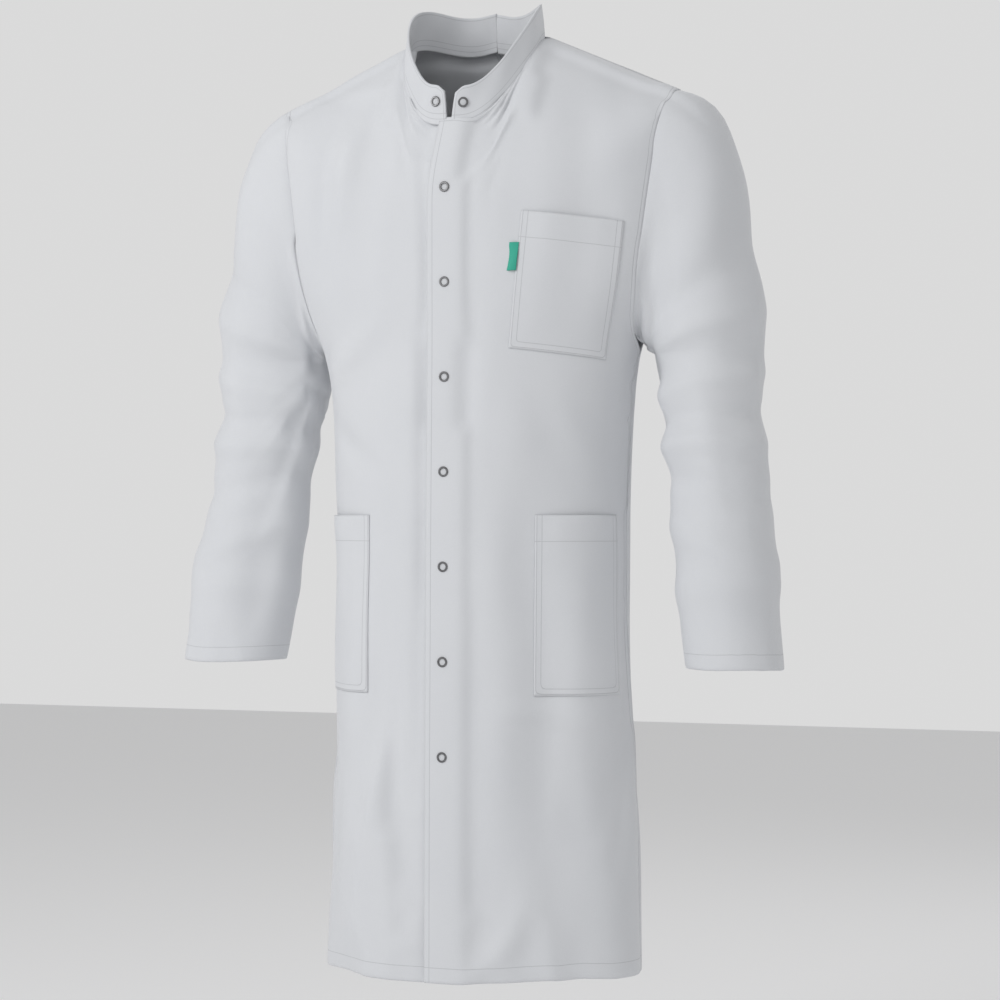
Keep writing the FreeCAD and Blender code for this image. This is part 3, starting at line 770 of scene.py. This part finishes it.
def makePiece(name, points, fields, material, middle, closed=False, thick=None):
    rows, columns = points.shape[:2]
    normals = gridNormals(points, closed, middle)
    faces = quads(rows, columns, closed)
    piece = newMesh(name, points.reshape(-1, 3), faces)
    mesh = piece.data
    agreement = 0.0
    flatNormals = normals.reshape(-1, 3)
    for face in mesh.polygons:
        agreement += face.normal.dot(Vector(flatNormals[face.vertices[0]]))
    if agreement < 0:
        mesh.flip_normals()
    for key, values in fields.items():
        layer = mesh.attributes.new(key, "FLOAT", "POINT")
        layer.data.foreach_set("value", values.astype(np.float32).ravel())
    across = arcs(points, 1)
    along = arcs(points, 0)
    cut = mesh.uv_layers.new(name="cut")
    flatU, flatV = across.ravel(), along.ravel()
    girth = float(np.linalg.norm(points[:, 0] - points[:, -1], axis=1).mean())
    for face in mesh.polygons:
        wraps = closed and max(v % columns for v in face.vertices) == columns - 1
        for loop in face.loop_indices:
            vertex = mesh.loops[loop].vertex_index
            u = flatU[vertex]
            if wraps and vertex % columns == 0 and min(
                    v % columns for v in face.vertices) == 0:
                u = flatU[vertex + columns - 1] + girth
            cut.data[loop].uv = (u, flatV[vertex])
    mesh.materials.append(material)
    smoother = piece.modifiers.new("Subdivision", "SUBSURF")
    smoother.levels = 1
    smoother.render_levels = 1
    smoother.boundary_smooth = "PRESERVE_CORNERS"
    wall = piece.modifiers.new("Solidify", "SOLIDIFY")
    wall.thickness = thick or clothSheet["thick"]
    wall.offset = -1
    applyAll(piece)
    for face in piece.data.polygons:
        face.use_smooth = True
    return piece, float(across.max()) + (girth if closed else 0), float(along.max())


def withHem(points, fields, closed, middle):
    # the bottom rows turned up on the inside
    normals = gridNormals(points, closed, middle)
    along = arcs(points, 0)
    turned = []
    for tall in (clothSheet["hemTall"], 0.012, 0.005, 0.0012):
        row = np.empty_like(points[0])
        for c in range(points.shape[1]):
            for k in range(3):
                row[c, k] = np.interp(tall, along[:, c], points[:, c, k])
        gap = clothSheet["hemGap"] + clothSheet["thick"]
        turned.append(row - normals[0] * gap)
    grown = np.concatenate([np.array(turned), points])
    more = {}
    for key, values in fields.items():
        pad = np.full((len(turned), points.shape[1]), farAway)
        more[key] = np.concatenate([pad, values])
    return grown, more


def surfaceArea(points, closed):
    across = np.roll(points, -1, axis=1) - points if closed else np.diff(points, axis=1)
    along = np.diff(points, axis=0)
    n = min(across.shape[1], along.shape[1])
    return float(np.linalg.norm(np.cross(across[:-1, :n], along[:, :n]), axis=2).sum())


def declare(wide, tall):
    wide, tall = round(wide, 3), round(tall, 3)


foldTopPoint = Vector((0.055, -0.1165, -0.060))
foldAcross = Vector((-960, 0, -35)).normalized()


def blendFront(piece, side):
    start = foldTopPoint - foldAcross * 0.003
    end = foldTopPoint + foldAcross * 0.044
    for point in (start, end):
        point.x *= side
    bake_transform(piece)


bodyMiddle = np.array([0.0, 0.0, -0.5])
for sideName, side in (("left", 1), ("right", -1)):
    for facing in ("Front", "Back"):
        points = panels[f"{sideName}{facing}"].copy()
        rows, columns = points.shape[:2]
        middle = np.stack([np.zeros((rows, columns)), np.zeros((rows, columns)),
                           points[:, :, 2]], axis=2)
        normals = gridNormals(points, False, middle)
        across, along = arcs(points, 1), arcs(points, 0)
        fromEnd = across[:, -1:] - across
        fromTop = along[-1:] - along
        fromSeam = np.minimum(fromEnd, fromTop)
        fields = {"fromHem": along}
        if facing == "Front":
            fields["fromEdge"] = across
            fields["fromSeam"] = fromSeam
        else:
            fields["fromEdge"] = np.full_like(across, farAway)
            fields["fromSeam"] = np.minimum(fromSeam, across)
        dip = clothSheet["seamDip"] * np.exp(-(fields["fromSeam"] / 0.004) ** 2)
        points -= normals * dip[:, :, None]
        area = surfaceArea(points, False)
        points, fields = withHem(points, fields, False,
                                 np.array([0.0, 0.0, shape["hem"]]))
        piece, wide, tall = makePiece(f"{sideName}{facing}Panel", points, fields, bodyMaterial,
                                      bodyMiddle)
        if facing == "Front":
            blendFront(piece, side)
            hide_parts(f"{sideName}_front_side", f"{sideName}_front_edge")
        else:
            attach(piece, "coat_body")
            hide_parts(f"{sideName}_back")
        declare(wide, tall)
print("body panels made")

for sideName, side in (("left", 1), ("right", -1)):
    points = panels[f"{sideName}Sleeve"][::-1].copy()
    # the seam allowance, tucked inside the body
    last, before = points[-1], points[-3]
    onward = (last - before) / np.linalg.norm(last - before, axis=1, keepdims=True)
    tucked = last + onward * 0.004 + (last.mean(axis=0) - last) * 0.035
    points = np.concatenate([points, tucked[None]])
    across, along = arcs(points, 1), arcs(points, 0)
    far = np.full_like(across, farAway)
    area = surfaceArea(points, True)
    middle = points.mean(axis=1, keepdims=True)
    fields = {"fromHem": along, "fromEdge": far, "fromSeam": along[-1:] - along}
    points, fields = withHem(points, fields, True, middle[0])
    middle = points.mean(axis=1, keepdims=True)
    piece, wide, tall = makePiece(f"{sideName}Sleeve", points, fields, sleeveMaterial, middle,
                                  closed=True)
    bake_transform(piece)
    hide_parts(f"{sideName}_sleeve_upper", f"{sideName}_sleeve_lower")
    declare(wide, tall)
print("sleeves made")

# the facings, inside the two front edges

for sideName, side in (("left", 1), ("right", -1)):
    front = panels[f"{sideName}Front"]
    across = arcs(front, 1)
    normals = gridNormals(front, False, np.array([0.0, 0.0, 0.0]) + front * [0, 0, 1])
    inside = front - normals * (clothSheet["thick"] + 0.0012)
    columns = np.linspace(0.0015, 0.058, 9)
    points = np.empty((front.shape[0] - 1, len(columns), 3))
    for r in range(front.shape[0] - 1):
        for k in range(3):
            points[r, :, k] = np.interp(columns, across[r], inside[r, :, k])
    points[0, :, 2] += 0.003
    along = arcs(points, 0)
    fields = {"fromHem": np.full_like(along, farAway), "fromSeam": np.full_like(along, farAway),
              "fromEdge": arcs(points, 1)[:, -1:] - arcs(points, 1)}
    area = surfaceArea(points, False)
    piece, wide, tall = makePiece(f"{sideName}Facing", points, fields, bodyMaterial, bodyMiddle)
    blendFront(piece, side)
    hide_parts(f"{sideName}_facing")
    declare(wide, tall)
print("facings made")

# the band collar in two halves, undone and parted at the front

collar = {"tall": 0.034, "thick": 0.0024, "gap": 0.003, "rows": 12, "steps": 60,
          "flare": 0.005, "lean": 0.004, "tuck": 0.009}


def neckHeight(x, y):
    low, high = -0.2, ridgeHeight(x)
    for _ in range(40):
        z = (low + high) / 2
        if depthAt(x, z) > abs(y):
            low = z
        else:
            high = z
    return low


for sideName, side in (("left", 1), ("right", -1)):
    radius = shape["neckRadius"] - (0 if side > 0 else 0.001)
    first = math.asin(collar["gap"] / radius)
    turns = np.linspace(first, math.pi, collar["steps"])
    heights = []
    for turn in turns:
        x, y = radius * math.sin(turn), -shape["neckForward"] - radius * math.cos(turn)
        heights.append(neckHeight(x, y))
    heights = np.convolve(np.pad(heights, 3, mode="edge"), np.ones(7) / 7, mode="valid")
    points = np.empty((collar["rows"] + 1, len(turns), 3))
    for c, turn in enumerate(turns):
        nearEnd = smooth(1 - turn / 0.7)
        # the free corner is cut back in a small curve
        tall = collar["tall"] * (1 - 0.22 * smooth(1 - (turn - first) / 0.16) ** 2)
        for r in range(collar["rows"] + 1):
            share = r / collar["rows"]
            rise = (tall + collar["tuck"]) * share
            ripple = 0.0011 * math.sin(9 * turn + 2 * side) * math.sin(math.pi * share)
            out = radius + ripple - collar["lean"] * share * (1 - nearEnd)
            slip = collar["flare"] * nearEnd * share ** 1.4 * (1 if side > 0 else 0.5)
            x = out * math.sin(turn) + slip
            y = -shape["neckForward"] - out * math.cos(turn) - 0.3 * slip
            points[r, c] = (side * x, y, heights[c] + rise - collar["tuck"])
    along, across = arcs(points, 0), arcs(points, 1)
    fields = {"fromHem": np.abs(along - collar["tuck"]), "fromSeam": along[-1:] - along,
              "fromEdge": np.minimum(across, along[-1:] - along)}
    area = surfaceArea(points, False)
    middle = np.array([0.0, -shape["neckForward"], 0.0]) + points * [0, 0, 1]
    piece, wide, tall = makePiece(f"{sideName}Collar", points, fields, collarMaterial, middle,
                                  thick=collar["thick"])
    blendFront(piece, side)
    replaced = [f"collar_{sideName}_end", f"collar_lining_{sideName}_end"]
    if side > 0:
        replaced += ["collar_back", "collar_lining_back"]
    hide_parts(*replaced)
    declare(wide, tall)
print("collar made")

# patch pockets, laid on the fronts

patches = {
    "chestPocket": {"corner": (0.084, -0.200), "wide": 0.112, "tall": 0.146, "lean": 6,
                    "side": 1, "node": "chest_pocket", "room": 0.0035},
    "leftHipPocket": {"corner": (0.097, -0.522), "wide": 0.107, "tall": 0.192, "lean": 0,
                      "side": 1, "node": "left_hip_pocket", "room": 0.0045},
    "rightHipPocket": {"corner": (0.097, -0.522), "wide": 0.107, "tall": 0.192, "lean": 0,
                       "side": -1, "node": "right_hip_pocket", "room": 0.0045},
}


def patchPoints(patch, tree):
    side = patch["side"]
    lean = math.radians(patch["lean"])
    rows, columns = 30, 22
    points = np.empty((rows + 1, columns + 1, 3))
    for r in range(rows + 1):
        for c in range(columns + 1):
            s = patch["wide"] * c / columns
            t = patch["tall"] * (1 - r / rows)
            flatX = patch["corner"][0] + s * math.cos(lean) - t * math.sin(lean)
            z = patch["corner"][1] - s * math.sin(lean) - t * math.cos(lean)
            wide, deep = tubeAt(z, 1), tubeAt(z, 2)
            turn = math.asin(min(0.999, patch["corner"][0] / wide))
            # walk round the body by the length of cloth between the corner and this point
            walk = flatX - patch["corner"][0]
            for _ in range(24):
                turn += walk / 24 / math.hypot(wide * math.cos(turn), deep * math.sin(turn))
            way = Vector((side * wide * math.sin(turn), -deep * math.cos(turn), 0))
            outward = Vector((side * math.sin(turn) / wide, -math.cos(turn) / deep, 0)).normalized()
            start = way + outward * 0.06 + Vector((0, 0, z))
            spot, normal, _, _ = tree.ray_cast(start, -outward)
            if spot is None:
                spot = way + Vector((0, 0, z))
            edge = min(s, patch["wide"] - s, patch["tall"] - t)
            belly = smooth(edge / 0.03)
            mouth = smooth(1 - t / 0.05) * math.sin(math.pi * s / patch["wide"])
            lift = 0.0012 + patch["room"] * (0.25 * belly + 0.75 * mouth * belly)
            if t == 0:
                lift = 0.0012 + patch["room"] * 0.8 * math.sin(math.pi * s / patch["wide"])
            points[r, c] = spot + outward * lift
    return points


for name, patch in patches.items():
    front = bpy.data.objects["leftFrontPanel" if patch["side"] > 0 else "rightFrontPanel"]
    tree = BVHTree.FromPolygons([v.co for v in front.data.vertices],
                                [f.vertices for f in front.data.polygons])
    points = patchPoints(patch, tree)
    along, across = arcs(points, 0), arcs(points, 1)
    fromTop = along[-1:] - along
    edge = np.minimum(np.minimum(across, across[:, -1:] - across), along)
    fields = {"fromHem": fromTop, "fromEdge": edge, "fromSeam": np.full_like(edge, farAway)}
    area = surfaceArea(points, False)
    piece, wide, tall = makePiece(name, points, fields, pocketMaterial, bodyMiddle)
    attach(piece, "coat_body")
    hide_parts(patch["node"])
    declare(wide, tall)
    patch["points"] = points
print("pockets made")

# the folded ribbon tab in the chest pocket's side seam

ribbon = {"wide": 0.0105, "tall": 0.030, "down": 0.034, "colour": (0.045, 0.42, 0.30),
          "thick": 0.0008}
tabMaterial = clothMaterial("greenRibbon", {**whiteCloth, "colour": ribbon["colour"],
                                            "shade": (0.035, 0.33, 0.24), "thread": 0.0006,
                                            "roughness": 0.6}, [])
chest = patches["chestPocket"]["points"]
seam = arcs(chest, 0)[-1, 0] - arcs(chest, 0)[:, 0]
points = np.empty((13, 7, 3))
for r in range(13):
    down = ribbon["down"] + ribbon["tall"] * (1 - r / 12)
    root = np.array([np.interp(-down, -seam, chest[:, 0, k]) for k in range(3)])
    for c in range(7):
        share = c / 6
        curl = 0.0012 * math.sin(math.pi * share) + 0.0006 * math.sin(3 * share + r / 3)
        points[r, c] = root + np.array([-ribbon["wide"] * share + 0.001, -0.0008 - curl, 0])
fields = {key: np.full((13, 7), farAway) for key in ("fromHem", "fromEdge", "fromSeam")}
piece, wide, tall = makePiece("pocketTab", points, fields, tabMaterial, bodyMiddle,
                              thick=ribbon["thick"])
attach(piece, "coat_body")
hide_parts("pocket_tab")
declare(wide, tall)
print("tab made")

# the press snaps keep their turned shapes, in dark nickel

for name in ("snap_rings", "snap_sockets", "snap_studs", "snap_back_rings",
             "collar_snap_left", "collar_snap_right"):
    node = frame["nodes"][name]
    node.data.materials.clear()
    node.data.materials.append(snapMaterial)
print("snaps finished")
